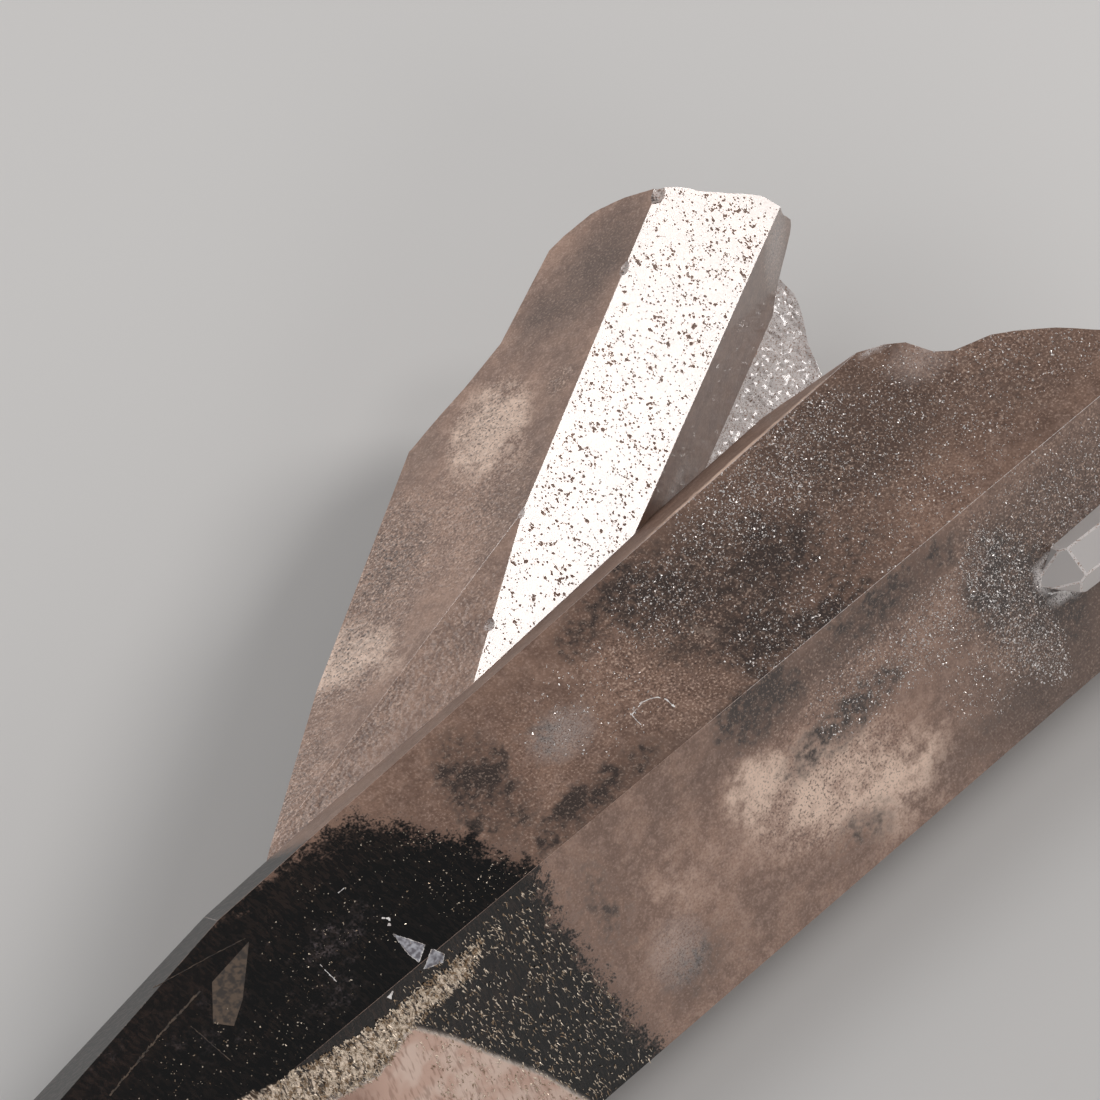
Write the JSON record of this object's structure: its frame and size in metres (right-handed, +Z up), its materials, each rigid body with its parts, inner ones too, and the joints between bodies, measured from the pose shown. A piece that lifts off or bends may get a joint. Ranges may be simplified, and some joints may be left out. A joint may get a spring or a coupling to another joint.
{
  "type": "smoky quartz crystal cluster",
  "caption": "Long smoky quartz point lying on one prism face, with a broken root, a second crystal leaning out of its side and a broken stub between them.",
  "frame": {"origin": "middle of the bounding box's underside, on the surface that the cluster lies on", "axes": "+X along the main crystal, from its tip to its broken root; +Z up, out of the prism face that looks up; +Y towards the side that the second crystal leans out of"},
  "size_m": [0.1134, 0.045, 0.0248],
  "materials": {
    "smoky_quartz": "clear brown-grey crystal with silvery frosted veils, flat glossy faces and shell-like breaks"
  },
  "bodies": {
    "root": {"quartz_cluster": "smoky_quartz"}
  },
  "joints": []
}
